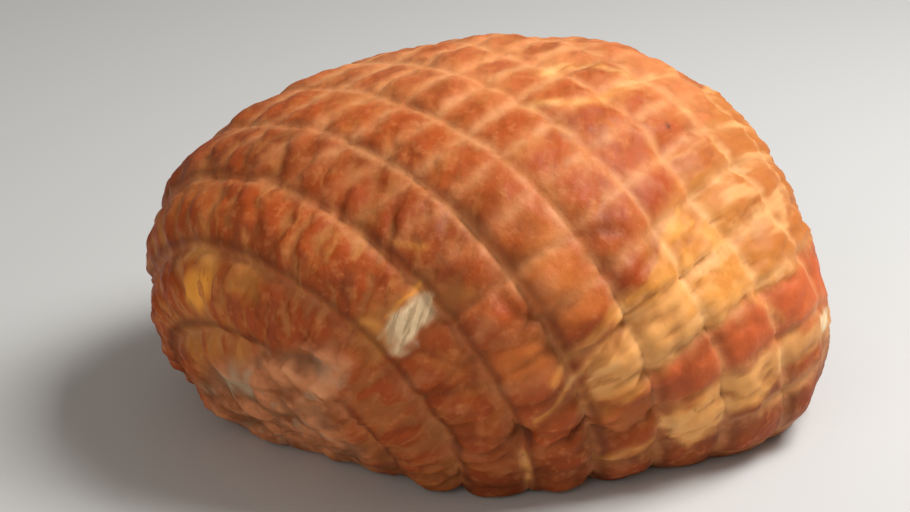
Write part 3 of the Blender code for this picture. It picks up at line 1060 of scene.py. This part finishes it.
def net_relief_tree(material):
    """A Geometry Nodes tree that presses the net and the meat's own relief into the smooth body."""
    tree = bpy.data.node_groups.new("net_relief", "GeometryNodeTree")
    tree.interface.new_socket("Geometry", in_out="INPUT", socket_type="NodeSocketGeometry")
    tree.interface.new_socket("Geometry", in_out="OUTPUT", socket_type="NodeSocketGeometry")
    for name, value in RELIEF.items():
        socket = tree.interface.new_socket(name, in_out="INPUT", socket_type="NodeSocketFloat")
        socket.default_value = value
    nodes = ReliefNodes(tree)
    knobs = nodes.product([nodes.layer("knob"), nodes.given["Knob Height"]])
    relief = nodes.total([
        rope_folds(nodes), soft_folds(nodes), fat_wrinkles(nodes),
        even_lumps(nodes, "Muscle", 4.0, 0.55), end_puckers(nodes), knobs,
    ])
    pillows = nodes.product([nodes.across_band, nodes.across_string])
    cells = nodes.product([nodes.layer("cell"), nodes.given["Cell Unevenness"], pillows])
    creases = nodes.math("MULTIPLY", nodes.layer("crease"), -1.0)
    broad = even_lumps(nodes, "Lump", 2.0, 0.5)
    height = nodes.total([net_marks(nodes), relief, cells, creases, broad])

    outward = nodes.add("ShaderNodeVectorMath", operation="NORMALIZE")
    nodes.feed(outward.inputs[0], nodes.position)
    offset = nodes.vector("SCALE", outward.outputs[0], height)
    geometry = nodes.given["Geometry"]
    geometry = nodes.passed_on("GeometryNodeSetPosition", geometry, {"Offset": offset})
    geometry = nodes.stored(geometry, "relief", relief)
    geometry = nodes.stored(geometry, "pillow", pillows)
    geometry = nodes.passed_on("GeometryNodeSetShadeSmooth", geometry, {})
    geometry = nodes.passed_on("GeometryNodeRealizeInstances", geometry, {})
    geometry = nodes.passed_on("GeometryNodeSetMaterial", geometry, {"Material": material})
    nodes.feed(nodes.add("NodeGroupOutput").inputs[0], geometry)
    return tree


def plain_mesh(source, tree, name):
    """The mesh that a Geometry Nodes tree makes of a mesh."""
    carrier = bpy.data.objects.new(name, source)
    bpy.context.collection.objects.link(carrier)
    modifier = carrier.modifiers.new("tree", "NODES")
    modifier.node_group = tree
    bpy.context.view_layer.update()
    evaluated = carrier.evaluated_get(bpy.context.evaluated_depsgraph_get())
    mesh = bpy.data.meshes.new_from_object(evaluated)
    bpy.data.objects.remove(carrier)
    mesh.name = name
    return mesh


def rest_and_fit(mesh):
    """Flatten the underside, and set the mesh into the solid's box. Returns the body's middle."""
    points = np.empty(len(mesh.vertices) * 3, np.float32)
    mesh.vertices.foreach_get("co", points)
    points = points.reshape(-1, 3).astype(float)
    radius = np.linalg.norm(points, axis=1)
    direction = points / radius[:, None]
    points = direction * rest_flat(direction, radius)[:, None]
    low, high = points.min(axis=0), points.max(axis=0)
    box_low, box_high = (np.array(corner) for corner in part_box("ham"))
    scale = (box_high - box_low) / (high - low)
    points = box_low + (points - low) * scale
    mesh.vertices.foreach_set("co", points.astype(np.float32).ravel())
    mesh.update()
    return box_low - low * scale


def colour(name):
    """A named colour as the shader wants it, from its everyday 0 to 255 values."""
    channels = [value / 255 for value in COLOURS[name]]
    return (*[c / 12.92 if c <= 0.04045 else ((c + 0.055) / 1.055) ** 2.4 for c in channels], 1.0)


class MeatNodes(Nodes):
    """The nodes of the meat's material, with each mask made once, by its name."""

    def __init__(self, tree):
        super().__init__(tree)
        self.made = {}
        self.spaces = {
            "body": self.add("ShaderNodeTexCoord").outputs["Object"],
            "net": self.painted("net", "Vector"),
            "slanted net": self.painted("slanted", "Vector"),
        }

    def painted(self, name, output="Fac"):
        return self.add("ShaderNodeAttribute", attribute_name=name).outputs[output]

    def mask(self, name):
        """A mask by its name: a pattern, a span or a share of another mask, or as painted."""
        if name not in self.made:
            if name in PATTERNS:
                space, length, width, detail, roughness = PATTERNS[name]
                place = self.stretched(self.spaces[space], length, width)
                self.made[name] = self.noise(place, detail, roughness)
            elif name in SPANS:
                source, low, high = SPANS[name]
                self.made[name] = self.step(self.mask(source), low, high)
            elif name in SHARES:
                source, at_none, at_full = SHARES[name]
                gain = at_full - at_none
                self.made[name] = self.math("MULTIPLY_ADD", self.mask(source), gain, at_none)
            else:
                self.made[name] = self.painted(name)
        return self.made[name]

    def masks(self, *names):
        """Several masks as one, which is as strong as all of them together let it be."""
        return self.product([self.mask(name) for name in names])

    def blend(self, below, above, cover):
        node = self.add("ShaderNodeMix", data_type="RGBA")
        self.feed(node.inputs["Factor"], cover)
        self.feed(node.inputs["A"], below)
        self.feed(node.inputs["B"], above)
        return node.outputs["Result"]

    def coated(self, below, coats):
        """The colours below, with a list of coats laid over them."""
        for name, follows, strength, *limits in coats:
            cover = self.product([self.masks(follows, *limits), strength])
            below = self.blend(below, colour(name), cover)
        return below


def add_net_lines(nodes):
    """Masks of the pale lines where the net lay, and of the painted shade on the flanks beside the
    rings.
    """
    from_ring = nodes.math("FRACT", nodes.math("ADD", nodes.mask("band"), 0.5))
    from_ring = nodes.math("SUBTRACT", from_ring, 0.5)
    from_ring = nodes.math("MULTIPLY_ADD", from_ring, BAND_WIDTH, nodes.mask("ragged"))
    from_string = nodes.math("ADD", nodes.mask("string_gap"), nodes.mask("ragged"))
    rings = nodes.bell(nodes.math("SUBTRACT", from_ring, LINE_OFFSET), RING_LINE_WIDTH)
    rings = nodes.product([rings, nodes.masks("clear rings", "rings on top")])
    strings = nodes.bell(from_string, STRING_LINE_WIDTH)
    strings = nodes.product([strings, nodes.masks("clear", "strings on top")])
    lines = nodes.product([
        nodes.math("MAXIMUM", rings, strings), nodes.masks("line strength", "not gathered"),
    ])
    # Painted shade on the flank just past each ring, stronger on the tightly tied side
    flanks = nodes.bell(nodes.math("SUBTRACT", from_ring, FLANK_OFFSET), FLANK_WIDTH)
    nodes.made["net lines"] = lines
    nodes.made["flanks"] = nodes.product([flanks, nodes.masks("deep flanks", "flanks on lean")])


def meat_material():
    """Smoked lean, fat and net lines, mixed by the painted masks, with painted shade and highlights.
    """
    material = bpy.data.materials.new("smoked_meat")
    material.use_nodes = True
    nodes = MeatNodes(material.node_tree)
    add_net_lines(nodes)
    golden = nodes.math("MAXIMUM", nodes.mask("golden blotches"), nodes.mask("golden bands"))
    nodes.made["golden"] = golden
    lean = nodes.coated(colour("lean"), LEAN_COATS)
    rough_end = nodes.coated(colour("gathered dark"), GATHERED_COATS)
    fat = nodes.coated(colour("fat"), FAT_COATS)
    cover = nodes.product([nodes.mask("gathered"), GATHERED_COVER])
    body = nodes.blend(nodes.blend(lean, rough_end, cover), fat, nodes.mask("fat"))
    body = nodes.coated(body, LAST_COATS)

    surface = material.node_tree.nodes["Principled BSDF"].inputs
    nodes.feed(surface["Base Color"], body)
    nodes.feed(surface["Roughness"], nodes.mask("roughness"))
    for name, value in SURFACE.items():
        surface[name].default_value = value
    bump = nodes.add("ShaderNodeBump")
    bump.inputs["Strength"].default_value = GRAIN_STRENGTH
    bump.inputs["Distance"].default_value = GRAIN_HEIGHT
    nodes.feed(bump.inputs["Height"], nodes.masks("grain", "grained"))
    nodes.feed(surface["Normal"], bump.outputs["Normal"])
    return material


def make_ham():
    """The ham's visible mesh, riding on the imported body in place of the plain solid."""
    material = meat_material()
    mesh = plain_mesh(smooth_ham(), net_relief_tree(material), "ham_surface")
    middle = rest_and_fit(mesh)
    ham = bpy.data.objects.new("ham_surface", mesh)
    bpy.context.collection.objects.link(ham)
    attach(ham, "root")
    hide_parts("ham")
    return middle


def make_floor():
    """A plain pale floor."""
    mesh = bpy.data.meshes.new("floor")
    corners = [(-1, -1), (1, -1), (1, 1), (-1, 1)]
    mesh.from_pydata([(x * FLOOR_HALF, y * FLOOR_HALF, 0) for x, y in corners], [], [(0, 1, 2, 3)])
    material = bpy.data.materials.new("pale_floor")
    material.use_nodes = True
    surface = material.node_tree.nodes["Principled BSDF"].inputs
    surface["Base Color"].default_value = FLOOR_COLOUR
    surface["Roughness"].default_value = FLOOR_ROUGHNESS
    mesh.materials.append(material)
    floor = bpy.data.objects.new("floor", mesh)
    floor.location.z = -FLOOR_DROP
    bpy.context.collection.objects.link(floor)


def add_lamp(name, target):
    """A soft square lamp that shines at a point."""
    place, size, power, tint = LAMPS[name]
    data = bpy.data.lights.new(name, "AREA")
    data.shape = "SQUARE"
    data.size = size
    data.energy = power
    data.color = tint
    lamp = bpy.data.objects.new(name, data)
    lamp.location = place
    lamp.rotation_euler = (Vector(target) - Vector(place)).to_track_quat("-Z", "Y").to_euler()
    bpy.context.collection.objects.link(lamp)


def light_studio(middle):
    """A soft key from above right, a wide fill from the front, and pale surroundings."""
    for name in LAMPS:
        add_lamp(name, middle)
    world = bpy.data.worlds.new("studio")
    world.use_nodes = True
    background = world.node_tree.nodes["Background"].inputs
    background["Color"].default_value = SURROUNDINGS
    background["Strength"].default_value = SURROUNDINGS_STRENGTH
    bpy.context.scene.world = world
    bpy.context.scene.view_settings.view_transform = "Standard"


def add_camera(middle):
    """The camera at the photograph's viewing angle, with the ham where the photograph has it."""
    tilt = math.radians(CAMERA_ELEVATION)
    data = bpy.data.cameras.new("camera")
    data.lens = CAMERA_LENS
    data.shift_x = -(MIDDLE_IN_PHOTO[0] - PHOTO_WIDTH / 2) / PHOTO_WIDTH
    data.shift_y = (MIDDLE_IN_PHOTO[1] - PHOTO_HEIGHT / 2) / PHOTO_WIDTH
    camera = bpy.data.objects.new("camera", data)
    camera.location = Vector(middle) + Vector((0, -math.cos(tilt), math.sin(tilt))) * CAMERA_DISTANCE
    camera.rotation_euler = (math.pi / 2 - tilt, 0, 0)
    bpy.context.collection.objects.link(camera)
    bpy.context.scene.camera = camera


middle = make_ham()
make_floor()
light_studio(middle)
add_camera(middle)
